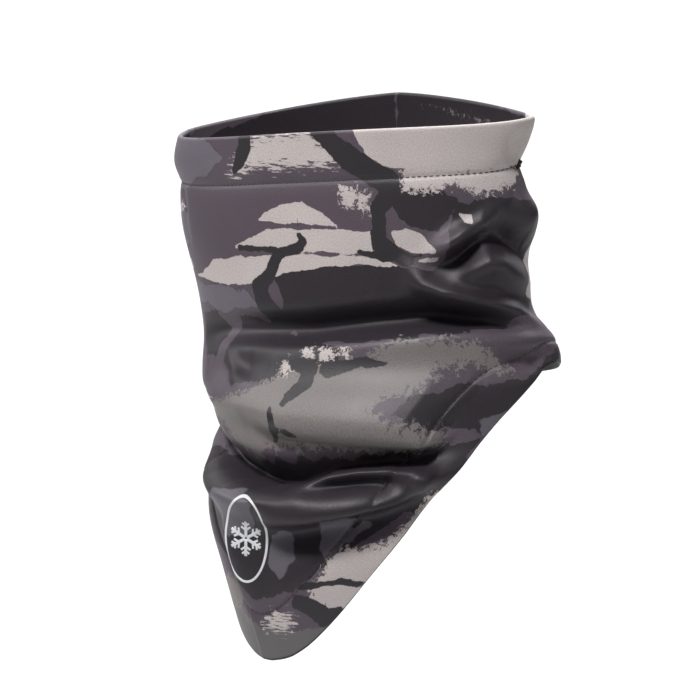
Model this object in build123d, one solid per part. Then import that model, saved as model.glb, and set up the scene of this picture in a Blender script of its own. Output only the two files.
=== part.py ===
from build123d import *
import math
import os

# Winter neck gaiter: a tube of stretch face fabric with a brushed fleece back, closed by one seam
# at the centre back, with a tongue-shaped bib at the front.  Both edges are turned in and stitched.
# Frame: origin on the neck's axis at the base of the neck, +Z up along the neck, the bib towards
# -Y and the wearer's left towards +X.  Millimetres.

# ---- driving dimensions ----
FACE_THICK = 0.5            # printed face fabric
FLEECE_THICK = 1.1          # brushed fleece behind it
HEM_DEPTH = 26.0            # width of the turned-in hem at the rim and at the lower edge
RIM_HEIGHT = 154.5          # height of the rim on the neck's axis
RIM_RISE_TO_LEFT = 0.055    # rise of the rim per millimetre towards +X
RIM_RISE_TO_BACK = 0.170    # rise of the rim per millimetre towards +Y
SIDE_HEM_HEIGHT = 8.0       # lower edge where it lies on the shoulders
BACK_HEM_SLOPE = -0.2       # fall of the lower edge per millimetre towards the back
BIB_LEAN = 0.3              # forward lean of the plane that ends the bib at its sides
STITCH_PITCH = 4.0
STITCH_LENGTH = 2.9
STITCH_RADIUS = 0.28
STITCH_CLEAR = 0.25         # between a row of stitches and the cloth under it
SECTION_POINTS = 16         # points round one level of the tube
LEVEL_STEP = 20.0           # height between the levels of the loft
TOP_LEVEL, BOTTOM_LEVEL = 190.0, -170.0

# Shape of the worn tube, level by level:
# height, half width to the wearer's right, half width to the left, depth of the widest place (y),
# reach forward of it, reach behind it.
LEVELS = [
    (-170, 32, 44, -50, 34, 40),
    (-130, 48, 64, -46, 46, 48),
    (-100, 60, 78, -40, 55, 52),
    (-70, 72, 90, -30, 64, 56),
    (-40, 81, 104, -20, 72, 60),
    (-10, 92, 116, -8, 70, 62),
    (13, 100, 126, -2, 64, 60),
    (32, 101, 122, 0, 58, 56),
    (55, 103, 114, 0, 55, 52),
    (90, 112, 113, 0, 53, 50),
    (126, 114, 110, 0, 51, 50),
    (152, 113, 113, 0, 50, 50),
    (190, 113, 113, 0, 50, 50),
]

# Lower edge of the bib seen from the front: x, height.
BIB_EDGE = [
    (-150, 8), (-118, 8), (-103, 3), (-91, -12), (-79, -38), (-66, -70), (-52, -101), (-36, -127),
    (-17, -143), (2, -147), (20, -140), (38, -121), (55, -91), (73, -54), (91, -20), (107, 2),
    (125, 8), (150, 8),
]

# Emblem on the bib: an oval ring round a plain six-armed snowflake.
EMBLEM_X, EMBLEM_Z = -22.0, -76.0
EMBLEM_WIDTH, EMBLEM_HEIGHT, EMBLEM_LINE = 33.0, 52.0, 1.6
FLAKE_ARM, FLAKE_LINE, FLAKE_BRANCH = 10.5, 2.1, 4.6
FILM_THICK = 0.15

# Care label inside the centre back, under the rim's facing.
LABEL_WIDTH, LABEL_TOP, LABEL_BOTTOM, LABEL_THICK = 28.0, 129.0, 101.0, 0.4

LAMINATE = FACE_THICK + FLEECE_THICK


def eased(table, at):
    """The rows of a table joined by a smooth curve and read at one height."""
    last = len(table) - 2
    i = next((k for k in range(last + 1) if at <= table[k + 1][0]), last)
    low, high = table[i], table[i + 1]
    before, after = table[max(i - 1, 0)], table[min(i + 2, last + 1)]
    step = high[0] - low[0]
    t = (at - low[0]) / step
    values = []
    for k in range(1, len(low)):
        slope_low = (high[k] - before[k]) / (high[0] - before[0]) * step
        slope_high = (after[k] - low[k]) / (after[0] - low[0]) * step
        rise = high[k] - low[k]
        values.append(
            low[k]
            + slope_low * t
            + (3 * rise - 2 * slope_low - slope_high) * t**2
            + (slope_low + slope_high - 2 * rise) * t**3
        )
    return values


def tube_point(turn, height, depth=0.0):
    """Point on the tube, turn degrees from the front towards the wearer's left, depth inside it."""
    right, left, middle, front, back = eased(LEVELS, height)
    s, c = math.sin(math.radians(turn)), math.cos(math.radians(turn))
    x = s * ((left if s > 0 else right) - depth)
    y = middle - c * ((front if c > 0 else back) - depth)
    return Vector(x, y, height)


def tube(depth):
    """Solid filled tube whose wall lies depth millimetres inside the outer surface."""
    count = round((TOP_LEVEL - BOTTOM_LEVEL) / LEVEL_STEP)
    levels = []
    for k in range(count + 1):
        height = BOTTOM_LEVEL + k * LEVEL_STEP
        ring = [tube_point(360 * i / SECTION_POINTS, height, depth) for i in range(SECTION_POINTS)]
        levels.append(Face(Wire([Edge.make_spline(ring, periodic=True)])))
    return Solid(loft(levels).wrapped)


def rim_height(x, y):
    return RIM_HEIGHT + RIM_RISE_TO_LEFT * x + RIM_RISE_TO_BACK * y


def below_rim(drop):
    """Everything more than drop millimetres under the plane of the rim."""
    normal = Vector(-RIM_RISE_TO_LEFT, -RIM_RISE_TO_BACK, 1)
    plane = Plane(origin=(0, 0, RIM_HEIGHT - drop), z_dir=normal)
    return plane * Box(600, 600, 600, align=(Align.CENTER, Align.CENTER, Align.MAX))


def edge_curve(inset):
    """Lower edge of the bib moved inwards by inset, as points of the front view."""
    points = []
    for i, (x, z) in enumerate(BIB_EDGE):
        before, after = BIB_EDGE[max(i - 1, 0)], BIB_EDGE[min(i + 1, len(BIB_EDGE) - 1)]
        along = Vector(after[0] - before[0], after[1] - before[1]).normalized()
        points.append((x - along.Y * inset, z + along.X * inset))
    kept = [points[0]]
    for p in points[1:]:
        if p[0] > kept[-1][0] + 0.35 * HEM_DEPTH:
            kept.append(p)
    return kept


def above_lower_edge(inset):
    """Everything above the lower edge once that has moved inwards by inset."""
    curve = edge_curve(inset)
    (left, left_height), (right, right_height) = curve[-1], curve[0]
    high, far = TOP_LEVEL + 20, 150
    outline = Wire([
        Edge.make_spline([Vector(x, 0, z) for x, z in curve]),
        Edge.make_line((left, 0, left_height), (left, 0, high)),
        Edge.make_line((left, 0, high), (right, 0, high)),
        Edge.make_line((right, 0, high), (right, 0, right_height)),
    ])
    seen_from_front = extrude(Face(outline), amount=200, dir=(0, 1, 0), both=True)
    side, low = SIDE_HEM_HEIGHT, BOTTOM_LEVEL - 10
    corners = [
        (0, side),
        (0, side + inset),
        (far, side + inset + BACK_HEM_SLOPE * far),
        (far, high),
        (-far, high),
        (-far, low),
        (BIB_LEAN * (low - side), low),
    ]
    if inset == 0:
        corners = corners[1:]
    profile = Wire([
        Edge.make_line((0, *start), (0, *end)) for start, end in zip(corners, corners[1:] + corners[:1])
    ])
    seen_from_side = extrude(Face(profile), amount=300, dir=(1, 0, 0), both=True)
    return seen_from_front & seen_from_side


def lower_edge_height(turn, inset):
    """Height at which the tube meets the lower edge moved in by inset, in one direction."""
    curve = [(x, z) for x, z in edge_curve(inset)]
    low, high = BOTTOM_LEVEL, RIM_HEIGHT - HEM_DEPTH
    for _ in range(40):
        height = (low + high) / 2
        p = tube_point(turn, height)
        edge = eased(curve, min(max(p.X, curve[0][0]), curve[-1][0]))[0]
        if p.Y > 0:
            edge = max(edge, SIDE_HEM_HEIGHT + inset + BACK_HEM_SLOPE * p.Y)
        low, high = (height, high) if height < edge else (low, height)
    return (low + high) / 2


def spaced(points, pitch, closed):
    """Places pitch apart along a run of points, each with its direction."""
    run = points + points[:1] if closed else points
    places, left_over = [], pitch / 2
    for a, b in zip(run, run[1:]):
        length = (b - a).length
        direction = (b - a).normalized()
        while left_over <= length:
            places.append((a + direction * left_over, direction))
            left_over += pitch
        left_over -= length
    return places


def stitches(points, closed=False, pitch=STITCH_PITCH, length=STITCH_LENGTH):
    """A row of thread stitches, each a short round rod lying along the row."""
    rods = []
    for place, direction in spaced(points, pitch, closed):
        plane = Plane(origin=place, z_dir=direction)
        rods.append(plane * Cylinder(STITCH_RADIUS, length))
    return rods


def wall(outside, inside, inset=0.0):
    """Layer between two tubes, ending inset short of the rim and of the lower edge."""
    return (outside - inside) & (below_rim(inset) & above_lower_edge(inset))


def face_fabric():
    return wall(OUTER, FLEECE_OUT)


def fleece():
    return wall(FLEECE_OUT, FLEECE_IN, FACE_THICK)


def rim_facing():
    """Print turned in at the rim, seen inside the opening."""
    return wall(FLEECE_IN, FACING_IN, FACE_THICK) - below_rim(HEM_DEPTH)


def lower_fleece_band():
    """Second band of fleece along the lower edge, down to the seam that joins it to the print."""
    return wall(FLEECE_IN, FACING_IN, FACE_THICK) - above_lower_edge(HEM_DEPTH)


def emblem_plane(height):
    """Front-view plane ahead of the bib, centred on the emblem."""
    return Plane(origin=(EMBLEM_X, -150, height), x_dir=(1, 0, 0), z_dir=(0, -1, 0))


def film(sketch):
    """A sketch laid on the bib as thin heat-transfer film."""
    prism = extrude(emblem_plane(EMBLEM_Z) * sketch, amount=-80)
    return (FILM_OUT - OUTER) & prism


def emblem_ring():
    outside = Ellipse(EMBLEM_WIDTH / 2, EMBLEM_HEIGHT / 2)
    inside = Ellipse(EMBLEM_WIDTH / 2 - EMBLEM_LINE, EMBLEM_HEIGHT / 2 - EMBLEM_LINE)
    return film(outside - inside)


def emblem_snowflake():
    flake = Sketch()
    for turn in range(30, 390, 60):
        arm = Pos(FLAKE_ARM / 2, 0) * Rectangle(FLAKE_ARM, FLAKE_LINE)
        for lean in (-50, 50):
            branch = Pos(0.55 * FLAKE_ARM, 0) * Rot(0, 0, lean) * Pos(FLAKE_BRANCH / 2, 0)
            arm += branch * Rectangle(FLAKE_BRANCH, FLAKE_LINE * 0.7)
        flake += Rot(0, 0, turn) * arm
    return film(flake)


def care_label():
    middle = (LABEL_TOP + LABEL_BOTTOM) / 2
    block = Pos(0, 50, middle) * Box(LABEL_WIDTH, 60, LABEL_TOP - LABEL_BOTTOM)
    return (FLEECE_IN - LABEL_IN) & block


def label_stitches():
    """One row along each end of the label, on its inner face."""
    inset, depth = 1.5, LAMINATE + LABEL_THICK + STITCH_RADIUS + STITCH_CLEAR
    rods = []
    for height in (LABEL_TOP - inset, LABEL_BOTTOM + inset):
        row = [tube_point(turn, height, depth) for turn in range(174, 187)]
        rods += stitches(row, pitch=2.6, length=1.7)
    return rods


def rim_stitches():
    ring = []
    for turn in range(0, 360, 4):
        height = RIM_HEIGHT
        for _ in range(8):
            p = tube_point(turn, height)
            height = rim_height(p.X, p.Y) - HEM_DEPTH
        ring.append(tube_point(turn, height, -STITCH_RADIUS - STITCH_CLEAR))
    return stitches(ring, closed=True)


def lower_hem_stitches():
    ring = []
    for turn in range(0, 360, 4):
        height = lower_edge_height(turn, HEM_DEPTH)
        ring.append(tube_point(turn, height, -STITCH_RADIUS - STITCH_CLEAR))
    return stitches(ring, closed=True)


def back_seam_stitches():
    """Overlock thread of the centre-back seam, on the fleece between the two facings."""
    top, bottom = RIM_HEIGHT - HEM_DEPTH + 4, SIDE_HEM_HEIGHT + HEM_DEPTH - 6
    depth = LAMINATE + LABEL_THICK + 3 * STITCH_RADIUS
    count = 24
    heights = [bottom + (top - bottom) * i / count for i in range(count + 1)]
    return stitches([tube_point(180, h, depth) for h in heights])


OUTER = tube(0)
FLEECE_OUT = tube(FACE_THICK)
FLEECE_IN = tube(LAMINATE)
FACING_IN = tube(LAMINATE + FACE_THICK)
FILM_OUT = tube(-FILM_THICK)
LABEL_IN = tube(LAMINATE + LABEL_THICK)

NODES = {
    "printed_face_fabric": face_fabric,
    "fleece_lining": fleece,
    "rim_facing": rim_facing,
    "lower_fleece_band": lower_fleece_band,
    "rim_hem_stitching": rim_stitches,
    "lower_hem_stitching": lower_hem_stitches,
    "back_seam_stitching": back_seam_stitches,
    "emblem_ring": emblem_ring,
    "emblem_snowflake": emblem_snowflake,
    "care_label": care_label,
    "care_label_stitching": label_stitches,
}

os.makedirs("parts", exist_ok=True)
for node, make in NODES.items():
    made = make()
    solids = [s for item in made for s in item.solids()] if isinstance(made, list) else made.solids()
    export_step(Compound(children=list(solids)), f"parts/{node}.step")
    print(node, len(solids), "solids", round(sum(s.volume for s in solids), 1), "mm3")
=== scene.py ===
import math

import bpy
import numpy as np
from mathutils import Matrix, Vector
from mathutils.bvhtree import BVHTree


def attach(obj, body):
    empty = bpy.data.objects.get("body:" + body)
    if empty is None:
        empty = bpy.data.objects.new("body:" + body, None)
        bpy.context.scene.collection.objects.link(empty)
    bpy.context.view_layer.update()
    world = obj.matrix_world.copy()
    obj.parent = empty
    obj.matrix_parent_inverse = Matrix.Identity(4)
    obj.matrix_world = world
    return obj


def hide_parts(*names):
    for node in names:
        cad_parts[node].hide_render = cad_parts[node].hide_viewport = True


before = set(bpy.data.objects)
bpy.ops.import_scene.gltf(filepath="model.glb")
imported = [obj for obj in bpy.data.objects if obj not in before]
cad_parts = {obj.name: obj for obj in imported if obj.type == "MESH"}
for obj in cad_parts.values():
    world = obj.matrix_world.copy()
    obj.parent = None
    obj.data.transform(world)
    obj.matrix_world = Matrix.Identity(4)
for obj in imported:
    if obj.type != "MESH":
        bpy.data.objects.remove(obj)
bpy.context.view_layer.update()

# A worn neck gaiter: printed stretch fabric with a brushed fleece back.  The cloth is described by
# its turn round the neck in degrees (0 at the front, growing towards the wearer's left) and its
# height in millimetres, then folded by listed ridges and valleys.

MM = 0.001
RNG = np.random.default_rng(11)     # leans of the single stitches

# ---- cloth ----
AROUND, DOWN = 540, 280         # cells of the cloth round the neck and from rim to lower edge
FACE_THICK, FLEECE_THICK = 0.5, 1.1
LAYER_GAP = 0.05                # between the print and the fleece
RIM_ROLL, ROLL_STEPS = 1.7, 7   # half the thickness of the turned-in rim
HEM_DEPTH, SIDE_HEM_DEPTH = 26.0, 11.0
HEM_NARROWS = (48, 80)          # turns, to either side, between which the lower hem gets narrower
LINING_PAST_EDGE_AS_SHADE = 1.3              # black edge of the fleece beyond the print along the lower edge, a dark line that also stands in for the shadow under that edge
GROOVE, GROOVE_REACH = 0.9, 1.3     # how deep a row of stitches pulls the cloth in, and how far off
PUCKER, PUCKER_REACH = 0.8, 5.0     # the wider dip on both sides of it
CROWDED_TURNS = [(-72, 1.6, 16), (62, 0.5, 22)]     # turn, extra share of columns there, reach
FAR_FROM_EDGE = 60.0            # distances from the lower edge stop mattering here

# Folds push along directions smoothed over this many rounds, and so do the inner layers.  The tube
# bends sharply at the sides, where its own directions would cross.  One small fold-over is left, at
# turns 90 to 93 and heights 127 to 140.
FOLD_SMOOTHING, LAYER_SMOOTHING = 14, 8

# pitch, length and radius of the stitches
HEM_STITCH, SEAM_STITCH, LABEL_STITCH = (3.4, 2.5, 0.24), (3.0, 2.4, 0.3), (2.4, 1.7, 0.2)
STITCH_LEAN = 0.06

# height, half width to the wearer's right, to the left, y of the widest place, reach forward, back
LEVELS = [
    (-170, 28, 42, -52, 34, 40),
    (-130, 43, 62, -48, 46, 48),
    (-100, 56, 80, -42, 55, 52),
    (-70, 71, 97, -32, 64, 56),
    (-40, 76, 110, -20, 70, 60),
    (-10, 86, 120, -8, 68, 62),
    (13, 93, 127, -2, 64, 60),
    (32, 98, 121, 0, 58, 56),
    (55, 104, 110, 0, 55, 52),
    (90, 115, 112, 0, 53, 50),
    (120, 117, 108, 0, 51, 50),
    (140, 117.5, 109, 0, 50, 50),
    (158, 113.5, 114, 0, 50, 50),
    (190, 113, 114, 0, 50, 50),
]
RIM_HEIGHT, RIM_RISE_TO_LEFT, RIM_RISE_TO_BACK, RIM_SADDLE = 150.0, 0.050, 0.185, 6.5
FRONT_RISE_TO_LEFT, FRONT_RISE = 0.03, 1.0
BACK_POINT = 0.5                # how far the back of the rim is drawn out to its seam
# turn, height of the lower edge
LOWER_EDGE = [
    (-200, -9.6), (-180, -10.8), (-160, -9.6), (-140, -6.2), (-120, -1), (-104, 4), (-94, 0),
    (-85, -13), (-77, -32), (-71, -58), (-66, -88), (-60, -112), (-52, -127), (-40, -136),
    (-25, -142), (-8, -144),
    (4, -142.5), (14, -138), (25, -127.5), (35, -110), (45, -80), (55, -43), (65, -10), (74, 11),
    (83, 20.5), (93, 22.5), (110, 17.4), (130, 11), (145, 3), (160, -7), (180, -10.8), (200, -9.6),
]

# Each fold: reach above or left of its line, reach below or right, sag of its crest, and the line
# as (turn, height, how far it stands out).
FOLDS = {
    "valley under the smooth upper part": (8, 8, 0, [
        (-60, 28, -1), (-38, 35, -6), (-15, 38, -10), (0, 40, -11), (20, 46, -12), (40, 50, -13),
        (60, 49, -11), (76, 46, -7), (92, 42, -2)]),
    "top edge of the swag": (6, 14, 0, [
        (-40, 22, 1), (-20, 26, 5), (0, 27, 7), (20, 33, 9), (40, 39, 9), (60, 42, 7), (72, 38, 6),
        (82, 35, 5), (98, 30, 5), (115, 28, 3), (130, 30, 0)]),
    "swag": (26, 7, 0, [
        (-75, 4, 2), (-60, 3, 4), (-50, 1, 5), (-40, -4, 8), (-20, -8, 12), (0, -9, 15),
        (20, -9, 16), (35, -10, 14), (43, -13, 6), (47, -15, 0)]),
    "end of the swag": (4, 3, 2, [
        (34, -14, 0), (41, -15, 4), (46, -16.5, 6), (49, -18, 2), (51, -19, 0)]),
    "lip of the swag": (6, 3.5, 8, [
        (-16, -14, 0), (0, -15, 4), (15, -15, 5), (30, -15, 5), (40, -15, 5), (44, -15, 2),
        (47, -15, 0)]),
    "notch at the wearer's right": (9, 9, 0, [
        (-150, -20, -4), (-110, -20, -7), (-85, -20, -8), (-66, -20, -6), (-56, -24, 0)]),
    "hollow under the swag": (9, 6, 0, [
        (-66, -20, 0), (-56, -25, -8), (-48, -31, -14), (-38, -36, -19), (-24, -38, -24), (-8, -40, -25),
        (4, -39, -20), (16, -33, -13), (30, -29, -13), (42, -28, -9), (48, -29, -1)]),
    "arch": (3.2, 4.5, 1.5, [
        (5, -46, 0), (10, -41, 8), (17, -36, 13), (25, -33, 15), (34, -32, 15), (42, -33, 12),
        (47, -38, 6), (49, -43, 1)]),
    "pocket in the arch": (5, 5, 0, [
        (14, -46, -3), (20, -43, -7), (28, -41, -8), (37, -40, -8), (43, -41, -3)]),
    "roll across the bib": (8, 9, 0, [
        (-62, -40, 0), (-50, -45, 6), (-30, -52, 12), (-10, -56, 14), (5, -55, 14), (20, -51, 13),
        (35, -45, 11), (48, -38, 8), (60, -31, 3)]),
    "lip of the roll": (4, 3.5, 6, [
        (-5, -66, 0), (3, -61, 3), (13, -58, 4), (27, -52, 4), (40, -46, 3), (50, -40, 0)]),
    "recess under the roll": (5, 15, 0, [
        (-1, -77, -1), (7, -70, -7), (20, -64, -9), (35, -57, -8), (48, -48, -5), (56, -42, -1)]),
    "crown of the bib": (24, 12, 0, [(-22, -58, 2), (-22, -72, 8), (-20, -88, 7), (-18, -112, 3)]),
    "long ridge to the shoulder": (6, 6, 0, [
        (28, 82, 0), (33, 74, 4), (38, 67, 8), (46, 62, 11), (56, 58, 12), (66, 54, 12),
        (76, 50, 11), (86, 44, 7), (100, 38, 3)]),
    "knuckle": (6, 8, 0, [
        (50, 70, 2), (56, 75, 6), (62, 80, 8), (68, 79, 7), (76, 72, 5), (90, 64, 1)]),
    "dark hollow behind the knuckle": (11, 7, 0, [
        (58, 98, -3), (66, 95, -10), (74, 91, -12), (82, 87, -11), (94, 80, -6), (106, 76, -1)]),
    "slanting ridge": (6, 5, 0, [
        (68, 108, 1), (60, 101, 6), (50, 93, 8), (44, 88, 7), (38, 82, 1)]),
    "pocket beside the knuckle": (5, 5, 0, [(42, 78, -3), (49, 82, -8), (54, 89, -8), (58, 94, -4)]),
    "bulge under the rim": (12, 12, 0, [(76, 110, 0), (90, 105, 6), (108, 100, 6), (130, 100, 0)]),
    "shoulder hollow": (5, 7, 0, [(60, 27, -1), (68, 27, -6), (80, 26, -7), (88, 25, -3), (94, 24, 0)]),
    "hem band on the wearer's right": (12, 9, 0, [
        (-120, 124, 0), (-90, 126, 2.5), (-70, 128, 3), (-50, 131, 1)]),
    "left fold": (4, 6, 0, [(-64, 116, 0), (-62, 100, -2.5), (-60, 76, 0)]),
    "soft dent above the swag": (12, 9, 0, [(-50, 8, 0), (-34, 12, -4), (-20, 16, -4), (-8, 19, 0)]),
    "soft crease beside it": (4, 5, 0, [(-36, 26, 0), (-31, 17, 2.5), (-24, 9, 3), (-15, 5, 0)]),
    "pinch at the rim": (5, 5, 0, [
        (74, 152, 0), (77, 145, -1.8), (79, 138, -2.2), (80, 133, -1), (81, 130, 0)]),
    "pinch at the stitching": (7, 8, 0, [
        (72, 131, -1), (84, 133, -2.5), (98, 134, -2.5), (112, 135, -1.5), (135, 137, 0)]),
    "back fold": (10, 12, 0, [(120, 64, 0), (150, 58, -7), (180, 54, -9), (210, 56, -7), (238, 62, 0)]),
    "back roll": (12, 10, 0, [(115, 42, 0), (150, 38, 6), (180, 33, 8), (210, 36, 6), (240, 40, 0)]),
    "slanting crease on the back": (6, 8, 0, [
        (128, 112, 0), (142, 100, -5), (158, 86, -6), (172, 80, 0)]),
    "crease on the wearer's right": (6, 7, 0, [
        (-150, 92, 0), (-130, 80, -5), (-110, 72, -6), (-86, 70, 0)]),
}


def smoothstep(low, high, x):
    """0 below low, 1 above high, and a smooth step between them."""
    t = np.clip((x - low) / (high - low), 0, 1)
    return t * t * (3 - 2 * t)


def eased(table, at):
    """The rows of a table joined by a smooth curve and read at an array of first-column values."""
    rows = np.array(table, float)
    key, values = rows[:, 0], rows[:, 1:]
    i = np.clip(np.searchsorted(key, at) - 1, 0, len(key) - 2)
    before, after = np.clip(i - 1, 0, None), np.clip(i + 2, None, len(key) - 1)
    step = (key[i + 1] - key[i])[..., None]
    t = np.clip((at - key[i]) / (key[i + 1] - key[i]), 0, 1)[..., None]
    low, high = values[i], values[i + 1]
    slope_low = (high - values[before]) / (key[i + 1] - key[before])[..., None] * step
    slope_high = (values[after] - low) / (key[after] - key[i])[..., None] * step
    rise = high - low
    return (low + slope_low * t + (3 * rise - 2 * slope_low - slope_high) * t**2
            + (slope_low + slope_high - 2 * rise) * t**3)


def tube(turn, height):
    """Points of the unfolded cloth, in millimetres."""
    right, left, middle, front, back = np.moveaxis(eased(LEVELS, height), -1, 0)
    s, c = np.sin(np.radians(turn)), np.cos(np.radians(turn))
    point = 1 + BACK_POINT * smoothstep(40, 140, height) * (c < 0)
    x = np.sign(s) * np.abs(s) ** point * np.where(s > 0, left, right)
    y = middle - np.sign(c) * np.abs(c) ** point * np.where(c > 0, front, back)
    return np.stack([x, y, height + 0 * x], -1)


def rim_height(turn):
    """Height of the rim, found in rounds because it depends on where the rim is."""
    height = np.full_like(turn, RIM_HEIGHT)
    for _ in range(6):
        p = tube(turn, height)
        height = (RIM_HEIGHT + RIM_RISE_TO_LEFT * p[..., 0] + RIM_RISE_TO_BACK * p[..., 1]
                  + RIM_SADDLE * np.cos(np.radians(turn)) ** 2
                  + (FRONT_RISE_TO_LEFT * p[..., 0] + FRONT_RISE) * (1 + np.cos(np.radians(turn))) / 2)
    return height


TURN_STEPS = np.linspace(-180, 180, 1441)
ring_steps = np.diff(tube(TURN_STEPS, np.full_like(TURN_STEPS, 100.0)), axis=0)
ARC_AT_TURN = np.concatenate([[0], np.cumsum(np.linalg.norm(ring_steps, axis=1))])
ARC_AT_TURN -= ARC_AT_TURN[len(TURN_STEPS) // 2]
GIRTH = ARC_AT_TURN[-1] - ARC_AT_TURN[0]


def arc(turn):
    """Distance round the cloth from the centre front, in millimetres."""
    whole = np.floor((np.asarray(turn, float) + 180) / 360)
    return np.interp(turn - 360 * whole, TURN_STEPS, ARC_AT_TURN) + GIRTH * whole


def fold_line(s, h, line, above, below):
    """Strength of one fold at cloth places (s, h)."""
    best = np.full(s.shape, 1e9)
    amount = np.zeros(s.shape)
    points = [(float(arc(t)), z, a) for t, z, a in line]
    if max(points)[0] > GIRTH / 2:
        s = np.where(s < 0, s + GIRTH, s)
    for (s0, h0, a0), (s1, h1, a1) in zip(points, points[1:]):
        ds, dh = s1 - s0, h1 - h0
        length = math.hypot(ds, dh)
        t = ((s - s0) * ds + (h - h0) * dh) / length**2
        tc = np.clip(t, 0, 1)
        away = np.hypot(s - s0 - tc * ds, h - h0 - tc * dh)
        side = (ds * (h - h0) - dh * (s - s0)) * (1 if ds >= 0 or abs(dh) > abs(ds) else -1)
        share = away / np.where(side > 0, above, below)
        closer = away < best
        best = np.where(closer, away, best)
        amount = np.where(closer, (a0 + (a1 - a0) * tc) * np.exp(-share**2), amount)
    return amount


def normals(grid):
    """Outward unit normals of a (down, around) grid that closes round."""
    around = np.roll(grid, -1, 1) - np.roll(grid, 1, 1)
    down = np.gradient(grid, axis=0)
    n = np.cross(down, around)
    return n / np.linalg.norm(n, axis=-1, keepdims=True)


def blur(grid, rounds):
    """A grid that closes round, smoothed. Its first and last rows are smoothed only round it."""
    for _ in range(rounds):
        inner = grid.copy()
        inner[1:-1] = (grid[:-2] + grid[2:] + 2 * grid[1:-1]) / 4
        grid = (np.roll(inner, 1, 1) + np.roll(inner, -1, 1) + 2 * inner) / 4
    return grid


# ---- the cloth's grid ----
even = np.linspace(-180, 180, 2881)
density = np.ones(even.shape)
for crowded, extra, reach in CROWDED_TURNS:
    density = density + extra * np.exp(-((even - crowded) / reach) ** 2)
crowding = np.cumsum(density)
share_round = (crowding - crowding[0]) / (crowding[-1] - crowding[0])
turns = np.interp(np.arange(AROUND) / AROUND, share_round, even)
rim, hem = rim_height(turns), eased(LOWER_EDGE, turns)[..., 0]
share_down = np.linspace(0, 1, DOWN + 1)[:, None]
heights = rim + (hem - rim) * share_down
turn_grid = np.broadcast_to(turns, heights.shape)
s_grid = arc(turn_grid)
flat_cloth = tube(turn_grid, heights)

out = normals(blur(flat_cloth, FOLD_SMOOTHING))
stand, sag = np.zeros(heights.shape), np.zeros(heights.shape)
for above, below, droop, line in FOLDS.values():
    amount = fold_line(s_grid, heights, line, above, below)
    stand += amount
    if droop:
        sag += droop * amount / max(abs(out_by) for _, _, out_by in line)
stand, sag = blur(stand[..., None], 2)[..., 0], blur(sag[..., None], 2)[..., 0]
cloth = flat_cloth + out * stand[..., None]
cloth[..., 2] -= sag
down_the_cloth = rim - heights


def away_from_edge(places, edge, chunk=40):
    """Distance of every place of the cloth from its lower edge, up to where it no longer matters."""
    far = np.full(places.shape[:2], FAR_FROM_EDGE)
    for first in range(0, len(edge), chunk):
        near = edge[first:first + chunk]
        for i in range(DOWN // 4, DOWN + 1):
            gap = np.linalg.norm(places[i][:, None] - near[None], axis=-1).min(1)
            far[i] = np.minimum(far[i], gap)
    return far


up_from_edge = away_from_edge(flat_cloth, flat_cloth[-1])
lower_hem_depth = HEM_DEPTH - (HEM_DEPTH - SIDE_HEM_DEPTH) * smoothstep(*HEM_NARROWS, abs(turns))
up_from_row = up_from_edge - lower_hem_depth
near_rows = np.minimum(abs(down_the_cloth - HEM_DEPTH), abs(up_from_row))
groove = (-GROOVE * np.exp(-(near_rows / GROOVE_REACH) ** 2)
          - PUCKER * np.exp(-(near_rows / PUCKER_REACH) ** 2))
cloth = cloth + out * groove[..., None]
cloth_out = normals(blur(cloth, LAYER_SMOOTHING))


# ---- the print, with painted shade and painted sheen ----
# Shapes on the cloth as (turn, height) outlines.  Pale ones have clean, splashed or brushed edges.
PALE_CLEAN = [
    [(-19, 98), (-15, 104), (-9, 109), (-3, 110), (3, 106), (9, 98)],
    [(-28, 82), (-22, 88), (-15, 94), (-4, 95.5), (8, 96), (20, 95.5), (22, 90), (23, 85), (16, 83),
     (0, 83), (-12, 83.5)],
    [(-58, 62), (-48, 67), (-41, 73), (-30, 76), (-12, 79.5), (0, 81), (17, 82), (24, 80), (31, 77),
     (18, 77),
     (6, 75), (-2, 72), (-9, 70), (-20, 63), (-34, 60), (-48, 60)],
    [(-90, 62), (-78, 70), (-66, 71), (-64, 66), (-70, 62)],
    [(26, 96), (31, 98), (36, 95), (39, 90), (42, 85), (34, 84), (28, 88)],
    [(35, 82), (43, 83), (42, 79.5), (35, 79)],
    [(50, 107), (55, 106), (55, 101), (52, 102)],
    [(13, 152), (16, 175), (60, 178), (88, 170), (108, 162), (114, 150), (104, 133), (84, 132),
     (70, 131.5), (50, 131), (30, 131), (23, 132), (18, 138), (15, 145)],
    [(96, 78), (104, 86), (118, 88), (130, 80), (124, 66), (108, 60), (96, 56), (88, 60)],
]
# Pale print darkened to grey as painted shade: the swag faces down under its overhang, so its pale
# splashes, and a few others elsewhere, are drawn in this darker colour.
PALE_SPLASH_IN_SHADE = [
    [(-64, -9), (-50, -9), (-40, -8), (-30, -5), (-20, -1), (-10, 6), (-3, 12), (5, 17), (12, 20),
     (20, 25),
     (22, 33), (26, 40), (34, 41), (44, 42), (55, 42), (60, 36), (64, 29), (69, 20), (60, 16),
     (50, 18), (42, 14),
     (36, 8), (28, 3), (25, -3), (30, -8), (38, -10), (47, -11), (48, -17), (44, -20), (30, -22),
     (18, -22),
     (4, -23), (-4, -24), (-10, -26), (-18, -31), (-27, -24), (-36, -18), (-45, -14), (-60, -13)],
    [(-46, -102), (-34, -100), (-28, -106), (-25, -112), (-29, -118), (-40, -120), (-52, -112)],
    [(-96, 34), (-84, 40), (-74, 36), (-78, 24), (-90, 20)],
    [(108, 187), (130, 184), (150, 181), (168, 178), (162, 171), (140, 171), (120, 172), (108, 174)],
]
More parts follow.
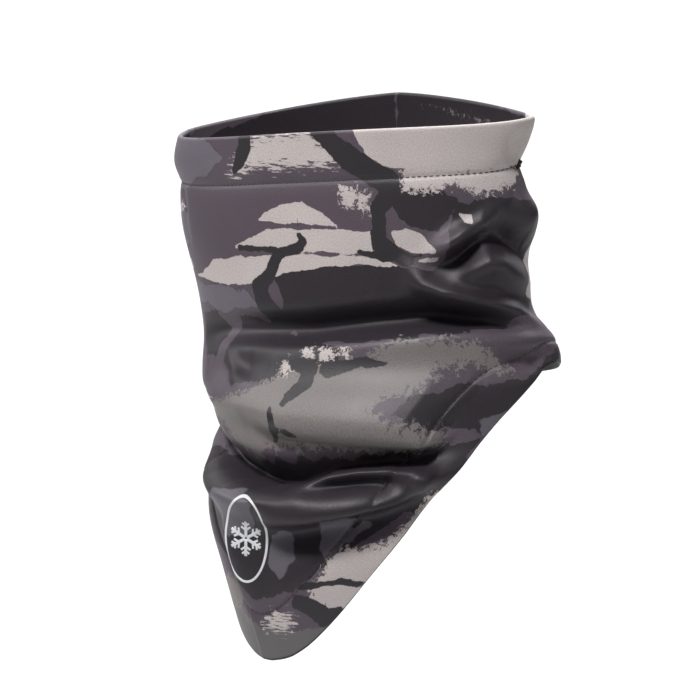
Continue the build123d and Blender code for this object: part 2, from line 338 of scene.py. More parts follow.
# places where the grey, darkened pale print is left out, as (turn, height, radius)
GAPS_IN_SHADED_PALE = [(28, 34, 14), (44, 32, 16), (58, 28, 16), (20, 12, 10), (36, 22, 10), (118, 178, 22),
             (140, 176, 24), (160, 175, 20)]
GAP_PUSH = 5.5
PALE_SPLASH = [
    [(30, 133), (46, 133), (62, 134), (80, 135), (84, 128), (79, 122), (68, 119), (58, 118),
     (50, 123), (40, 119),
     (30, 120)],
    [(20, -96), (22, -84), (27, -76), (34, -77), (43, -72), (49, -60), (52, -46), (62, -40),
     (64, -60), (52, -84),
     (42, -102), (34, -114), (28, -113), (20, -106), (17, -100)],
    [(-84, 104), (-74, 108), (-66, 102), (-72, 94), (-84, 94)],
]
PALE_BRUSHED = [
    [(-30, 123), (-18, 129), (0, 131), (9, 133), (6, 142), (-2, 149), (-16, 148), (-24, 139)],
    [(-7, -124), (1, -117), (8, -117), (12, -121), (7, -126)],
    [(-66, -3), (-52, -2), (-40, -6), (-50, -14), (-66, -13)],
]
# pale spots as (turn, height, radius)
SPOTS = [(13, 115, 5), (17, 113, 4), (20, 108, 3), (11, 118, 3), (-2, 15, 4), (4, 24, 3),
         (9, 24, 3.5), (14, 26, 3), (-100, 76, 6)]
# dark strokes as (turn, height, half width)
STROKES = [
    [(-4, 103, 1), (-4, 93, 1.4), (-2, 88, 2.6), (-5, 84, 3), (-11, 80, 3.4), (-13, 73, 3.6),
     (-15, 67, 4),
     (-19, 60, 6), (-17, 50, 7), (-12, 42, 8)],
    [(1, 152, 5), (8, 142, 6), (12, 136, 7), (18, 130, 7), (25, 124, 7), (26, 117, 6), (22, 108, 5),
     (22, 98, 4),
     (22, 90, 5), (27, 84, 4.5), (32, 80, 4)],
    [(16, 84, 1.5), (26, 81.5, 2), (36, 83, 1.5)],
    [(-26, 82, 1.3), (-14, 82.5, 1.7), (-4, 82, 1)],
    [(0, 20, 3.5), (5, 15, 4.5), (5, 8, 4), (3, 2, 3), (1, -4, 2.5)],
    [(10, 16, 4), (18, 21, 3), (25, 21, 1)],
    [(-3, -8, 2), (-2, -13, 3), (-4, -20, 2)], [(-2, -13, 1.3), (5, -15, 1)],
    [(-25, 150, 4), (-24, 140, 5), (-26, 131, 4), (-28, 126, 2)],
    [(12, -108, 4), (20, -112, 5), (27, -117, 6), (33, -114, 4)],
    [(12, -100, 2), (20, -98, 2), (30, -95, 1.8), (40, -97, 1)],
    [(34, -50, 1.5), (31, -58, 2), (28, -64, 1)],
    [(112, 90, 2), (110, 80, 3), (116, 68, 5), (112, 54, 6)],
]
# Dark print that also paints shade: these outlines lie over the valley under the smooth upper part, the
# hollows round the knuckle, under the swag and the roll, the shoulder hollow and the inside of the rim,
# and their near-black colour stands in for the shade there.
DEEP_PRINT_AND_SHADE = [
    [(-13, 71), (-2, 73), (6, 76), (18, 78), (33, 78), (40, 76), (46, 88), (44, 98), (50, 112),
     (66, 116), (84, 114),
     (104, 108), (108, 62), (84, 46), (50, 40), (20, 34), (0, 30), (-12, 40), (-10, 56)],
    [(24, 119), (38, 121), (50, 116), (47, 103), (42, 96), (36, 99), (28, 103)],
    [(-60, -34), (-30, -32), (0, -30), (30, -22), (60, -18), (60, -50), (46, -58), (20, -90), (10, -104),
     (-10, -108), (-30, -96), (-50, -80)],
    [(-32, 44), (-14, 40), (0, 34), (16, 28), (10, 16), (-6, 6), (-26, 4), (-36, 16)],
    [(46, 14), (70, 14), (84, 26), (104, 30), (104, 4), (70, -14), (50, -12), (30, -6), (34, 4)],
    [(-58, 40), (-46, 44), (-40, 34), (-42, 20), (-52, 16), (-62, 26)],
    [(-178, 160), (-120, 158), (-60, 152), (-20, 156), (20, 164), (60, 168), (120, 164), (178, 168),
     (178, 215),
     (-178, 215)],
]
# Painted sheen: these lighter, bluish patches stand in for the soft highlight that light puts on the
# dark cloth, mostly on the wearer's right side and on lit folds of the bib, and a thin dark line is
# drawn round their edges.
SHEEN_PATCHES = [
    [(-90, 58), (-62, 58), (-46, 59), (-34, 59), (-24, 56), (-20, 50), (-30, 45), (-40, 43),
     (-52, 47), (-70, 44),
     (-90, 48)],
    [(-100, 150), (-62, 148), (-40, 141), (-34, 132), (-40, 124), (-50, 118), (-62, 110), (-90, 110)],
    [(-100, 100), (-72, 104), (-60, 96), (-62, 80), (-80, 74), (-100, 80)],
    [(-26, -52), (-14, -48), (-4, -56), (-8, -72), (-20, -76), (-30, -64)],
    [(0, -72), (6, -70), (9, -84), (4, -96), (-2, -88)],
    [(17, -62), (28, -60), (34, -64), (28, -74), (22, -84), (17, -78)],
    [(106, 56), (122, 58), (128, 44), (112, 40)],
    [(56, -6), (68, -2), (80, 6), (74, -8), (62, -14)],
]
TIP = [[(-70, -112), (-34, -116), (-20, -122), (-8, -125), (6, -126), (16, -125), (26, -122), (40, -124),
        (50, -170), (-70, -170)]]
REPEAT_DROP = 20.0              # the print repeats half-way round, mirrored and this much lower
REPEAT_STARTS = (97, 112)       # turns, to either side, between which the repeat comes in
OUT_OF_PRINT = 50.0             # distance that keeps a shape off the cloth


def outline_distance(s, h, outline):
    """Distance from an outline, negative inside it."""
    pts = [(float(arc(t)), z) for t, z in outline]
    away = np.full(s.shape, 1e9)
    inside = np.zeros(s.shape, bool)
    for (s0, h0), (s1, h1) in zip(pts, pts[1:] + pts[:1]):
        ds, dh = s1 - s0, h1 - h0
        t = np.clip(((s - s0) * ds + (h - h0) * dh) / (ds * ds + dh * dh), 0, 1)
        away = np.minimum(away, np.hypot(s - s0 - t * ds, h - h0 - t * dh))
        crosses = (h0 > h) != (h1 > h)
        inside ^= crosses & (s < s0 + (h - h0) * ds / np.where(dh == 0, 1e-9, dh))
    return np.where(inside, -away, away)


def stroke_distance(s, h, stroke):
    """Distance from a stroke of changing width, negative inside it."""
    away = np.full(s.shape, 1e9)
    pts = [(float(arc(t)), z, w) for t, z, w in stroke]
    for (s0, h0, w0), (s1, h1, w1) in zip(pts, pts[1:]):
        ds, dh = s1 - s0, h1 - h0
        t = np.clip(((s - s0) * ds + (h - h0) * dh) / (ds * ds + dh * dh), 0, 1)
        away = np.minimum(away, np.hypot(s - s0 - t * ds, h - h0 - t * dh) - (w0 + (w1 - w0) * t))
    return away


def nearest(s, h, shapes, measure):
    """Distance from the nearest shape or from its repeat at the back, which stops at the rim."""
    front = np.minimum.reduce([measure(s, h, shape) for shape in shapes])
    mirrored = np.where(s < 0, -s - GIRTH / 2, GIRTH / 2 - s)
    behind = np.minimum.reduce([measure(mirrored, h + REPEAT_DROP, shape) for shape in shapes])
    behind = behind + 40 * (1 - smoothstep(*REPEAT_STARTS, abs(turns)))
    behind = np.where(h > rim, OUT_OF_PRINT, behind)
    return np.minimum(front, behind)


def spot_distance(s, h, spot):
    """Distance from a round spot, negative inside it."""
    turn, height, radius = spot
    return np.hypot(s - float(arc(turn)), h - height) - radius


# ---- meshes ----
def mesh_piece(name, verts, faces, uv=None, fields=None):
    """A piece from vertices in millimetres and quads, with cloth coordinates and fields for the print,
    its painted shade and painted sheen.
    """
    mesh = bpy.data.meshes.new(name)
    verts = np.asarray(verts, float).reshape(-1, 3) * MM
    faces = np.asarray(faces)
    mesh.vertices.add(len(verts))
    mesh.vertices.foreach_set("co", verts.ravel())
    mesh.loops.add(faces.size)
    mesh.loops.foreach_set("vertex_index", faces.ravel())
    mesh.polygons.add(len(faces))
    mesh.polygons.foreach_set("loop_start", np.arange(len(faces)) * faces.shape[1])
    if uv is not None:
        uv_layer = mesh.uv_layers.new(name="cloth")
        uv_layer.data.foreach_set("uv", (uv * MM).ravel())
    for field, values in (fields or {}).items():
        mesh.attributes.new(field, "FLOAT", "POINT").data.foreach_set("value", values.ravel())
    mesh.update(calc_edges=True)
    mesh.validate()
    mesh.shade_smooth()
    piece = bpy.data.objects.new(name, mesh)
    bpy.context.scene.collection.objects.link(piece)
    return piece


def ring_faces(rows, columns, closed):
    """Quads of a grid that closes round, and from its last row to its first where closed."""
    last = rows if closed else rows - 1
    i, j = np.meshgrid(np.arange(last), np.arange(columns), indexing="ij")
    k, l = (i + 1) % rows, (j + 1) % columns
    corners = [i * columns + j, k * columns + j, k * columns + l, i * columns + l]
    return np.stack(corners, -1).reshape(-1, 4)


def layer(depth, rows=slice(None)):
    """The cloth moved in by depth."""
    return (cloth - cloth_out * depth)[rows]


def up_at(row):
    """Unit direction up the cloth at one of its edges."""
    step = cloth[row] - cloth[row + 1] if row == 0 else cloth[row - 1] - cloth[row]
    return step / np.linalg.norm(step, axis=-1, keepdims=True)


def roll_over(radius, depth):
    """Half-round over the rim, from the outside to the inside."""
    centre = cloth[0] - cloth_out[0] * (depth + radius)
    angles = np.linspace(0, math.pi, ROLL_STEPS + 2)[1:-1]
    return np.stack([
        centre + radius * (math.cos(a) * cloth_out[0] + math.sin(a) * up_at(0)) for a in angles
    ])


facing_rows = int(np.mean(np.argmax(down_the_cloth > HEM_DEPTH, axis=0)))


def face_fabric():
    """Print from the lower edge up, over the rim and down inside it, with its own thickness."""
    r, d = RIM_ROLL, FACE_THICK
    front = [layer(0)[::-1], roll_over(r, 0), layer(2 * r, slice(0, facing_rows))]
    back = [layer(2 * r - d, slice(0, facing_rows))[::-1], roll_over(r - d, d)[::-1], layer(d)]
    arc_h = np.linspace(0, math.pi * r, ROLL_STEPS + 2)[1:-1]
    inside_h = heights[0] + math.pi * r + (heights[0] - heights[:facing_rows])
    outer_h = np.concatenate([heights[::-1], heights[0] + arc_h[:, None], inside_h])
    return np.concatenate(front + back), np.concatenate([outer_h, outer_h[::-1]])


def cloth_uv(cloth_h, faces):
    """Cloth coordinates of every corner, running on past the seam."""
    s = np.broadcast_to(arc(turns), cloth_h.shape).ravel()[faces]
    wrapped = s.max(1, keepdims=True) - s > GIRTH / 2
    s = np.where(wrapped, s + GIRTH, s)
    return np.stack([s, cloth_h.ravel()[faces]], -1)


verts, print_h = face_fabric()
faces = ring_faces(len(verts), AROUND, True)
print_s = np.broadcast_to(arc(turns), print_h.shape)
fields = {
    "clean": nearest(print_s, print_h, PALE_CLEAN, outline_distance),
    "splash": np.minimum(
        nearest(print_s, print_h, PALE_SPLASH, outline_distance),
        nearest(print_s, print_h, SPOTS, spot_distance),
    ),
    "pale_in_shade": nearest(print_s, print_h, PALE_SPLASH_IN_SHADE, outline_distance) + sum(
        GAP_PUSH * np.exp(-((print_s - float(arc(turn))) ** 2 + (print_h - height) ** 2) / radius**2)
        for turn, height, radius in GAPS_IN_SHADED_PALE
    ),
    "brushed": nearest(print_s, print_h, PALE_BRUSHED, outline_distance),
    "stroke": nearest(print_s, print_h, STROKES, stroke_distance),
    "deep_and_shade": nearest(print_s, print_h, DEEP_PRINT_AND_SHADE, outline_distance),
    "painted_sheen": nearest(print_s, print_h, SHEEN_PATCHES, outline_distance),
    "tip": nearest(print_s, print_h, TIP, outline_distance),
}
fabric = mesh_piece("printed_fabric", verts, faces, cloth_uv(print_h, faces), fields)

FLEECE_IN = FACE_THICK + FLEECE_THICK
edge_out = layer(FACE_THICK + LAYER_GAP, slice(-1, None))
edge_in = layer(FLEECE_IN, slice(-1, None))
lining_rows = np.concatenate([
    layer(FACE_THICK + LAYER_GAP)[::-1],
    layer(FLEECE_IN),
    # the fleece carried past the print's edge: its own black edge, which also stands in for the shadow
    # under the edge
    edge_in - up_at(DOWN) * LINING_PAST_EDGE_AS_SHADE,
    edge_out - up_at(DOWN) * LINING_PAST_EDGE_AS_SHADE,
])
lining_faces = ring_faces(len(lining_rows), AROUND, True)
lining_h = np.concatenate([heights[::-1], heights, heights[-1:] - 1, heights[-1:] - 1])
lining = mesh_piece("fleece_backing", lining_rows, lining_faces, cloth_uv(lining_h, lining_faces))


def sample(grid, turn, height):
    """A grid's values at cloth places, between its points."""
    wrapped = (np.asarray(turn, float) + 180) % 360 - 180
    column = np.interp(wrapped, np.append(turns, 180), np.arange(AROUND + 1))
    j = np.floor(column).astype(int)
    fx = (column - j)[..., None]
    top = np.interp(turn, turns, rim, period=360)
    low = np.interp(turn, turns, hem, period=360)
    row = np.clip((top - height) / (top - low) * DOWN, 0, DOWN - 1e-6)
    i = np.floor(row).astype(int)
    fy = (row - i)[..., None]
    j0, j1 = j % AROUND, (j + 1) % AROUND
    above = grid[i, j0] * (1 - fx) + grid[i, j1] * fx
    below = grid[i + 1, j0] * (1 - fx) + grid[i + 1, j1] * fx
    return above * (1 - fy) + below * fy


def threads(path, out_at_path, pitch, length, radius, closed=True):
    """A row of stitches along a path on the cloth, each a short rounded thread sunk at its ends."""
    run = np.concatenate([path, path[:1]]) if closed else path
    lift = np.concatenate([out_at_path, out_at_path[:1]]) if closed else out_at_path
    along = np.concatenate([[0], np.cumsum(np.linalg.norm(np.diff(run, axis=0), axis=1))])
    count = int(along[-1] / pitch)
    at = (np.arange(count) + 0.5) * along[-1] / count

    def read(values, where):
        return np.stack([np.interp(where, along, values[:, k]) for k in range(3)], -1)

    sides, verts, faces = 8, [], []
    # place along a stitch as a share of its length, and its width there as a share of the radius
    profile = [(-0.5, 0.35), (-0.36, 0.85), (0.0, 1.0), (0.36, 0.85), (0.5, 0.35)]
    for centre in at:
        lean = RNG.normal(0, STITCH_LEAN, 2)
        first = len(verts)
        for share, wide in profile:
            place = read(run, centre + share * length)
            up = read(lift, centre + share * length)
            up /= np.linalg.norm(up)
            forward = read(run, centre + 0.3) - read(run, centre - 0.3)
            forward /= np.linalg.norm(forward)
            across = np.cross(forward, up)
            bow = radius * (1.1 - 5.2 * share * share)
            middle = place + up * bow + across * (lean[0] * share * 2)
            for k in range(sides):
                a = 2 * math.pi * k / sides
                verts.append(middle + radius * wide * (math.cos(a) * across + math.sin(a) * up))
        rings = len(profile)
        for i in range(rings - 1):
            for k in range(sides):
                a, b = first + i * sides + k, first + i * sides + (k + 1) % sides
                faces.append((a, b, b + sides, a + sides))
        for ring, order in ((0, 1), (rings - 1, -1)):
            loop = [first + ring * sides + k for k in range(sides)][::order]
            for k in range(0, sides - 2, 2):
                faces.append((loop[0], loop[k + 1], loop[k + 2], loop[k + 3]))
    return verts, faces


def row_path(below, share):
    """Path of a row of stitches, a share of the way down to grid rows below, and its directions."""
    columns = np.arange(AROUND)
    below = np.clip(below, 1, DOWN)
    share = share[:, None]
    places = cloth[below - 1, columns] * (1 - share) + cloth[below, columns] * share
    lifts = cloth_out[below, columns]
    for _ in range(4):
        places = (np.roll(places, 1, 0) + np.roll(places, -1, 0) + 2 * places) / 4
        lifts = (np.roll(lifts, 1, 0) + np.roll(lifts, -1, 0) + 2 * lifts) / 4
    return places, lifts


def small_piece(name, parts, node):
    """One piece from (vertices, faces) parts, in millimetres, that stands for one CAD node."""
    verts, faces = [], []
    for part_verts, part_faces in parts:
        faces += [tuple(v + len(verts) for v in f) for f in part_faces]
        verts += list(part_verts)
    mesh = bpy.data.meshes.new(name)
    mesh.from_pydata([Vector(v) * MM for v in verts], [], faces)
    mesh.shade_smooth()
    piece = bpy.data.objects.new(name, mesh)
    bpy.context.scene.collection.objects.link(piece)
    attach(piece, "root")
    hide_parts(node)
    return piece


under_rim_row = np.argmax(down_the_cloth > HEM_DEPTH, axis=0)
depth_above = down_the_cloth[under_rim_row - 1, np.arange(AROUND)]
depth_below = down_the_cloth[under_rim_row, np.arange(AROUND)]
rim_path = row_path(under_rim_row, (HEM_DEPTH - depth_above) / (depth_below - depth_above))
over_hem_row = DOWN - np.argmax(up_from_row[::-1] > 0, axis=0)
hem_path = row_path(over_hem_row, np.ones(AROUND))
seam_rows = np.arange(facing_rows + 4, DOWN - facing_rows)
seam_path = layer(FLEECE_IN + 0.1)[seam_rows, 0], -cloth_out[seam_rows, 0]
rim_thread = small_piece(
    "rim_hem_thread", [threads(*rim_path, *HEM_STITCH)], "rim_hem_stitching")
hem_thread = small_piece(
    "lower_hem_thread", [threads(*hem_path, *HEM_STITCH)], "lower_hem_stitching")
seam_thread = small_piece(
    "back_seam_thread", [threads(*seam_path, *SEAM_STITCH, False)], "back_seam_stitching")

# ---- emblem and label ----
EMBLEM_TURN, EMBLEM_HEIGHT = -11.5, -75.0
EMBLEM_HALF_WIDE, EMBLEM_HALF_HIGH, EMBLEM_LINE = 13.0, 25.5, 1.4
EMBLEM_FACES = math.radians(22)     # direction the emblem is laid on from, from the front to the left
FILM, FILM_SUNK = 0.12, -0.1        # how far the film stands up, and how far its edges go in
RAY_LENGTH, RAY_WIDE, BRANCH_WIDE = 10.0, 1.7, 1.2
BRANCHES, BRANCH_LEAN = ((4.6, 3.4), (7.2, 2.6)), 55    # where each pair leaves its ray, its length
emblem_centre = sample(cloth, np.array(EMBLEM_TURN), np.array(EMBLEM_HEIGHT))
emblem_out = np.array([math.sin(EMBLEM_FACES), -math.cos(EMBLEM_FACES), 0.0])
emblem_side = np.cross((0, 0, 1), emblem_out)
emblem_side /= np.linalg.norm(emblem_side)
emblem_up = np.cross(emblem_out, emblem_side)
front_columns = np.flatnonzero(abs(turns - EMBLEM_TURN) < 60)
front_rows = np.arange(DOWN // 2, DOWN + 1)
front_cloth = cloth[np.ix_(front_rows, front_columns)]
grid_faces = ring_faces(len(front_rows), len(front_columns), False)
grid_faces = grid_faces[grid_faces[:, 2] % len(front_columns) != 0]
front_tree = BVHTree.FromPolygons([Vector(v) for v in front_cloth.reshape(-1, 3)], grid_faces.tolist())


def on_bib(a, b, lift):
    """Points lift millimetres above the cloth, a to the side of the emblem's centre and b above it."""
    places = []
    for side, up in zip(np.atleast_1d(a), np.atleast_1d(b)):
        above = emblem_centre + emblem_side * side + emblem_up * up + emblem_out * 40
        hit = front_tree.ray_cast(Vector(above), Vector(-emblem_out))[0]
        places.append(np.array(hit) + emblem_out * lift)
    return np.array(places)


def film_grid(inside, outside, closed):
    """Film between two curves of (a, b) points, with a top and edges that reach the cloth."""
    n = len(inside)
    rows = []
    tops = [(t, FILM) for t in (0, 0.25, 0.5, 0.75, 1)]
    for t, lift in [(0, FILM_SUNK), *tops, (1, FILM_SUNK)]:
        line = inside + (outside - inside) * t
        rows.append(on_bib(line[:, 0], line[:, 1], lift))
    verts = np.concatenate(rows)
    faces = []
    m = len(rows)
    for i in range(m):
        for k in range(n if closed else n - 1):
            a, b = i * n + k, i * n + (k + 1) % n
            c, d = ((i + 1) % m) * n + (k + 1) % n, ((i + 1) % m) * n + k
            faces.append((a, b, c, d))
    if not closed:
        faces.append(tuple(i * n for i in range(m)))
        faces.append(tuple(i * n + n - 1 for i in reversed(range(m))))
    return verts, faces


angles = np.linspace(0, 2 * math.pi, 97)[:-1]
oval = np.stack([np.cos(angles), np.sin(angles)], -1)
outer_oval = oval * (EMBLEM_HALF_WIDE, EMBLEM_HALF_HIGH)
inner_oval = oval * (EMBLEM_HALF_WIDE - EMBLEM_LINE, EMBLEM_HALF_HIGH - EMBLEM_LINE)
ring = small_piece("emblem_oval", [film_grid(inner_oval, outer_oval, True)], "emblem_ring")


def bar(start, end, wide):
    """A straight bar of film from start to end."""
    start, end = np.array(start, float), np.array(end, float)
    along = (end - start) / np.linalg.norm(end - start)
    across = np.array([-along[1], along[0]]) * wide / 2
    t = np.linspace(0, 1, 9)[:, None]
    middle = start + (end - start) * t
    return film_grid(middle - across, middle + across, False)


bars = []
for k in range(6):
    a = math.radians(30 + 60 * k)
    ray = np.array([math.cos(a), math.sin(a)])
    bars.append(bar(ray * 0.6, ray * RAY_LENGTH, RAY_WIDE))
    for root, reach in BRANCHES:
        for lean in (-BRANCH_LEAN, BRANCH_LEAN):
            b = a + math.radians(lean)
            tip = ray * root + np.array([math.cos(b), math.sin(b)]) * reach
            bars.append(bar(ray * root, tip, BRANCH_WIDE))
flake = small_piece("emblem_snowflake_film", bars, "emblem_snowflake")

LABEL_START, LABEL_END, LABEL_TOP, LABEL_BOTTOM = 172, 188, 129, 101
LABEL_COLUMNS, LABEL_ROWS = 30, 20
LABEL_FRONT, LABEL_BACK, LABEL_BULGE = 0.45, 0.1, 0.9   # how far its faces stand off the fleece
LABEL_STITCH_ROWS = (127.5, 102.5)


def inside_at(turn, height, off_fleece):
    """Places inside the tube, a distance off the fleece."""
    off = np.asarray(FLEECE_IN + off_fleece)[..., None]
    return sample(cloth, turn, height) - sample(cloth_out, turn, height) * off


def care_label():
    """A soft tab with two faces and an edge round them."""
    turn, height = np.meshgrid(
        np.linspace(LABEL_START, LABEL_END, LABEL_COLUMNS),
        np.linspace(LABEL_TOP, LABEL_BOTTOM, LABEL_ROWS),
    )
    ripple = 0.6 + 0.4 * np.sin(np.radians((turn - LABEL_START) * 30))
    crown = np.sin(np.pi * (LABEL_TOP - height) / (LABEL_TOP - LABEL_BOTTOM)) ** 2
    bulge = LABEL_BULGE * crown * ripple
    front = inside_at(turn, height, LABEL_FRONT + bulge)
    behind = inside_at(turn, height, LABEL_BACK + bulge)
    rows, columns = turn.shape
    half = rows * columns
    faces = []
    for i in range(rows - 1):
        for j in range(columns - 1):
            a, b = i * columns + j, i * columns + j + 1
            c, d = b + columns, a + columns
            faces.append((a, b, c, d))
            faces.append((d + half, c + half, b + half, a + half))
    edge = list(range(columns))
    edge += [i * columns + columns - 1 for i in range(1, rows)]
    edge += [(rows - 1) * columns + j for j in range(columns - 2, -1, -1)]
    edge += [i * columns for i in range(rows - 2, 0, -1)]
    for a, b in zip(edge, edge[1:] + edge[:1]):
        faces.append((b, a, a + half, b + half))
    verts = np.concatenate([front.reshape(-1, 3), behind.reshape(-1, 3)])
    return mesh_piece("care_label_tab", verts, faces)


def label_stitches(height):
    """A row of stitches across the label, a degree in from its ends."""
    turn = np.linspace(LABEL_START + 1, LABEL_END - 1, 30)
    row = np.full(30, height)
    path = inside_at(turn, row, 0.5)
    return threads(path, -sample(cloth_out, turn, row), *LABEL_STITCH, False)


label = care_label()
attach(label, "root")
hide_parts("care_label")
label_rows = [label_stitches(height) for height in LABEL_STITCH_ROWS]
label_thread = small_piece("care_label_thread", label_rows, "care_label_stitching")


# ---- materials ----
class Nodes:
    """Short calls for building a node tree."""

    def __init__(self, name):
        self.material = bpy.data.materials.new(name)
        self.material.use_nodes = True
        self.tree = self.material.node_tree
        self.shader = self.tree.nodes["Principled BSDF"]

    def add(self, kind, links=None, **settings):
        node = self.tree.nodes.new(kind)
        for key, value in settings.items():
            setattr(node, key, value)
        for socket, value in (links or {}).items():
            self.set(node.inputs[socket], value)
        return node

    def set(self, socket, value):
        if isinstance(value, bpy.types.NodeSocket):
            self.tree.links.new(value, socket)
        else:
            socket.default_value = value

    def math(self, operation, a, b=0.0):
        return self.add("ShaderNodeMath", {0: a, 1: b}, operation=operation).outputs[0]

    def noise(self, vector, scale, detail=2.0, roughness=0.5, distortion=0.0):
        node = self.add("ShaderNodeTexNoise", {
            "Vector": vector, "Scale": scale, "Detail": detail, "Roughness": roughness,
            "Distortion": distortion,
        })
        return node.outputs["Fac"]

    def mix(self, share, a, b):
        node = self.add("ShaderNodeMix", {0: share, 6: a, 7: b}, data_type="RGBA")
        return node.outputs[2]

    def ramp(self, value, low, high, to_low=0.0, to_high=1.0):
        node = self.add("ShaderNodeMapRange", {
            "Value": value, "From Min": low, "From Max": high, "To Min": to_low, "To Max": to_high,
        }, interpolation_type="SMOOTHSTEP")
        return node.outputs["Result"]

    def look(self, **values):
        for key, value in values.items():
            self.set(self.shader.inputs[key.replace("_", " ")], value)

    def bump(self, height, strength, distance):
        node = self.add("ShaderNodeBump", {"Height": height, "Strength": strength, "Distance": distance})
        return node.outputs["Normal"]


def rgb(r, g, b):
    return (r, g, b, 1.0)


# DEEP_PRINT_AND_SHADE_COLOUR is dark print and painted shade for the hollows.
MID, DEEP_PRINT_AND_SHADE_COLOUR = rgb(0.078, 0.059, 0.077), rgb(0.020, 0.015, 0.020)
# SHEEN_COLOUR is a painted sheen, lighter and bluer than the cloth.
SHEEN_COLOUR = rgb(0.130, 0.118, 0.144)
# PALE_IN_SHADE is pale print darkened as painted shade.
PALE_IN_SHADE = rgb(0.175, 0.156, 0.152)
PALE, STROKE, TIP_COLOUR = rgb(0.47, 0.42, 0.41), rgb(0.020, 0.017, 0.020), rgb(0.120, 0.110, 0.116)


def printed_cloth():
    m = Nodes("print")
    uv = m.add("ShaderNodeUVMap", uv_map="cloth").outputs["UV"]

    def field(name):
        return m.add("ShaderNodeAttribute", attribute_name=name).outputs["Fac"]

    wave = m.math("SUBTRACT", m.noise(uv, 70, 3, 0.55), 0.5)
    ripple = m.math("SUBTRACT", m.noise(uv, 260, 4, 0.6), 0.5)
    splatter = m.math("SUBTRACT", m.noise(uv, 300, 8, 0.78, 0.6), 0.5)
    streaks = m.add("ShaderNodeMapping", {
        "Vector": uv, "Scale": (0.12, 1.0, 1.0), "Rotation": (0, 0, 0.05),
    }).outputs[0]
    brush = m.math("SUBTRACT", m.noise(streaks, 700, 5, 0.7), 0.5)

    def shape(name, *roughening, soft=0.25):
        edge = field(name)
        for noise, amount in roughening:
            edge = m.math("ADD", edge, m.math("MULTIPLY", noise, amount))
        return m.ramp(edge, soft, -soft)

    deep_and_shade = shape("deep_and_shade", (wave, 14.0), soft=0.3)
    painted_sheen = shape("painted_sheen", (wave, 12.0), soft=0.3)
    sheen_edge = m.math("ADD", field("painted_sheen"), m.math("MULTIPLY", wave, 12.0))
    sheen_edge_line = m.ramp(m.math("ABSOLUTE", sheen_edge), 0.9, 0.2)
    tip = shape("tip", (wave, 6.0), (splatter, 10.0))
    clean = shape("clean", (wave, 5.0), (ripple, 2.2))
    splash = shape("splash", (wave, 7.0), (splatter, 32.0))
    pale_in_shade = shape("pale_in_shade", (wave, 8.0), (splatter, 30.0))
    brushed = shape("brushed", (brush, 40.0), (splatter, 8.0))
    stroke = shape("stroke", (wave, 5.0), (ripple, 2.5))

    tone = m.noise(uv, 18, 2, 0.5)
    # dark print and painted shade over the valleys and hollows
    colour = m.mix(deep_and_shade, MID, DEEP_PRINT_AND_SHADE_COLOUR)
    # painted sheen on lit parts of the cloth, and a thin dark line round its edge
    colour = m.mix(m.math("MULTIPLY", painted_sheen, 0.75), colour, SHEEN_COLOUR)
    colour = m.mix(m.math("MULTIPLY", sheen_edge_line, 0.35), colour, STROKE)
    colour = m.mix(tip, colour, TIP_COLOUR)
    pale = m.math("MAXIMUM", m.math("MAXIMUM", clean, splash), brushed)
    # pale print darkened as painted shade
    colour = m.mix(pale_in_shade, colour, PALE_IN_SHADE)
    colour = m.mix(pale, colour, PALE)
    colour = m.mix(stroke, colour, STROKE)
    grain = m.noise(uv, 1250, 2, 0.6)
    shade = m.math("ADD", m.math("MULTIPLY", grain, 1.0), m.math("MULTIPLY", tone, 0.3))
    shade = m.math("ADD", shade, 0.35)
    colour = m.add("ShaderNodeVectorMath", {0: colour, 1: shade}, operation="MULTIPLY").outputs[0]
    weave = m.add("ShaderNodeMapping", {"Vector": uv, "Scale": (1.0, 0.6, 1.0)}).outputs[0]
    knit = m.noise(weave, 2000, 1, 0.5)
    normal = m.bump(knit, 0.45, 0.0003)
    rough = m.ramp(grain, 0.2, 0.8, 0.44, 0.56)
    m.look(Base_Color=colour, Roughness=rough, Normal=normal)
    m.look(Sheen_Weight=0.03, Sheen_Roughness=0.4, Specular_IOR_Level=0.45)
    m.shader.inputs["Sheen Tint"].default_value = rgb(0.75, 0.72, 0.8)
    return m.material


def fleece():
    m = Nodes("fleece")
    uv = m.add("ShaderNodeUVMap", uv_map="cloth").outputs["UV"]
    tufts = m.noise(uv, 420, 4, 0.7, 0.8)
    colour = m.mix(tufts, rgb(0.006, 0.006, 0.007), rgb(0.016, 0.015, 0.017))
    m.look(Base_Color=colour, Roughness=0.95, Normal=m.bump(tufts, 0.8, 0.0012))
    m.look(Sheen_Weight=0.35, Sheen_Roughness=0.6)
    return m.material


def thread():
    m = Nodes("thread")
    place = m.add("ShaderNodeTexCoord").outputs["Object"]
    wave = m.add("ShaderNodeTexWave", {"Vector": place, "Scale": 1600.0, "Distortion": 1.5})
    twist = wave.outputs["Fac"]
    m.look(Base_Color=m.mix(twist, rgb(0.012, 0.011, 0.012), rgb(0.03, 0.028, 0.03)), Roughness=0.5)
    m.look(Normal=m.bump(twist, 0.4, 0.0001), Sheen_Weight=0.2)
    return m.material


def film():
    m = Nodes("emblem_film")
    place = m.add("ShaderNodeTexCoord").outputs["Object"]
    cloth_under = m.noise(place, 2200, 2, 0.5)
    m.look(Base_Color=m.mix(cloth_under, rgb(0.66, 0.67, 0.69), rgb(0.78, 0.79, 0.8)), Roughness=0.38)
    m.look(Normal=m.bump(cloth_under, 0.2, 0.0002), Metallic=0.15)
    return m.material


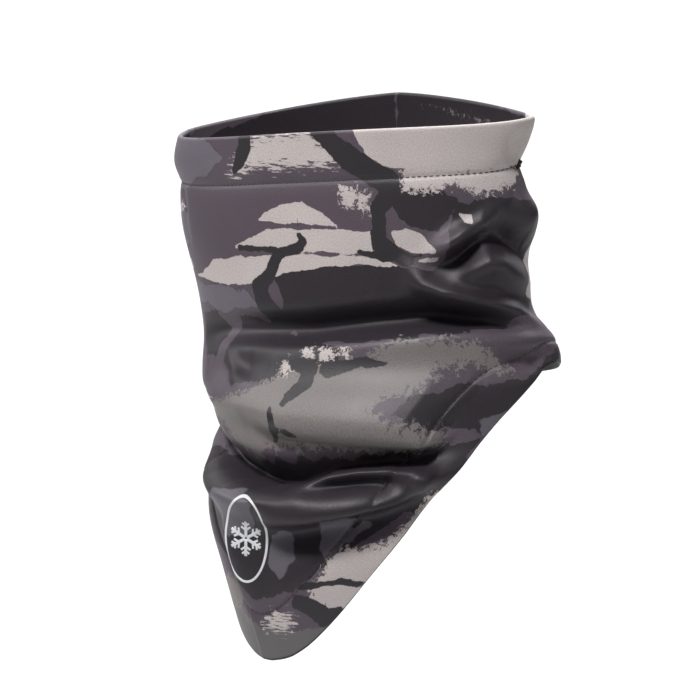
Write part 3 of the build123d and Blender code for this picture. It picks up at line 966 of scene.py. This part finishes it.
def satin_label():
    m = Nodes("label")
    place = m.add("ShaderNodeTexCoord").outputs["Object"]
    wave = m.add("ShaderNodeTexWave", {
        "Vector": place, "Scale": 900.0, "Distortion": 0.4,
    }, bands_direction="Z")
    weave = wave.outputs["Fac"]
    m.look(Base_Color=m.mix(weave, rgb(0.02, 0.02, 0.021), rgb(0.04, 0.039, 0.041)), Roughness=0.35)
    m.look(Normal=m.bump(weave, 0.3, 0.0001), Sheen_Weight=0.3)
    return m.material


print_material, fleece_material, thread_material = printed_cloth(), fleece(), thread()
film_material, label_material = film(), satin_label()
fabric.data.materials.append(print_material)
lining.data.materials.append(fleece_material)
for piece in (rim_thread, hem_thread, seam_thread, label_thread):
    piece.data.materials.append(thread_material)
for piece in (ring, flake):
    piece.data.materials.append(film_material)
label.data.materials.append(label_material)


def paper():
    m = Nodes("paper")
    m.look(Base_Color=rgb(0.6, 0.6, 0.6), Roughness=0.9)
    return m.material


for piece, nodes, slot in (
    (fabric, ["printed_face_fabric", "rim_facing"], "print"),
    (lining, ["fleece_lining", "lower_fleece_band"], "fleece"),
):
    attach(piece, "root")
    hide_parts(*nodes)


# ---- camera and light ----
AZIMUTH, ELEVATION, DISTANCE = math.radians(30), math.radians(8), 1.8
AIM_ACROSS, AIM_HEIGHT = -0.004, 0.0205
target = Vector((AIM_ACROSS * math.cos(AZIMUTH), AIM_ACROSS * math.sin(AZIMUTH), AIM_HEIGHT))
back = Vector((
    math.sin(AZIMUTH) * math.cos(ELEVATION),
    -math.cos(AZIMUTH) * math.cos(ELEVATION),
    math.sin(ELEVATION),
))
camera = bpy.data.objects.new("camera", bpy.data.cameras.new("camera"))
bpy.context.scene.collection.objects.link(camera)
camera.location = target + back * DISTANCE
camera.rotation_euler = (-back).to_track_quat("-Z", "Y").to_euler()
camera.data.sensor_width = 36
camera.data.lens = 159.6
bpy.context.scene.camera = camera


def lamp(name, place, size, power, aim=(0, 0, 0)):
    data = bpy.data.lights.new(name, "AREA")
    data.shape, data.size, data.energy = "DISK", size, power
    light = bpy.data.objects.new(name, data)
    light.location = place
    light.rotation_euler = (Vector(aim) - Vector(place)).to_track_quat("-Z", "Y").to_euler()
    bpy.context.scene.collection.objects.link(light)


lamp("key", (-0.1, -1.4, 2.1), size=0.6, power=60)
lamp("left", (-1.7, -0.6, 1.3), size=0.8, power=17)
lamp("right", (1.9, -0.6, 0.9), size=0.9, power=6)
lamp("back", (0.9, 2.0, 1.6), size=1.0, power=14)
lamp("backdrop_light", (-0.6, 1.2, 2.6), size=1.6, power=130, aim=(-1.2, 2.6, 0.0))

world = bpy.data.worlds.new("studio")
world.use_nodes = True
world.node_tree.nodes["Background"].inputs["Color"].default_value = (1, 1, 1, 1)
world.node_tree.nodes["Background"].inputs["Strength"].default_value = 0.06
bpy.context.scene.world = world
bpy.context.scene.view_settings.view_transform = "Standard"

# a floor that curves up into a wall behind
FLOOR, BEND, BEND_STARTS = -0.5, 1.0, 2.0
FRONT, WALL_TOP, HALF_WIDE = -4.0, 4.0, 6
section = [(FRONT, FLOOR)]
for a in np.linspace(0, math.pi / 2, 24):
    section.append((BEND_STARTS + BEND * math.sin(a), FLOOR + BEND - BEND * math.cos(a)))
section.append((BEND_STARTS + BEND, WALL_TOP))
places = [(x, y, z) for x in (-HALF_WIDE, HALF_WIDE) for y, z in section]
n = len(section)
mesh = bpy.data.meshes.new("floor")
mesh.from_pydata(places, [], [(i, i + 1, n + i + 1, n + i) for i in range(n - 1)])
mesh.shade_smooth()
floor = bpy.data.objects.new("floor", mesh)
bpy.context.scene.collection.objects.link(floor)
floor.rotation_euler = (0, 0, AZIMUTH)
floor.data.materials.append(paper())
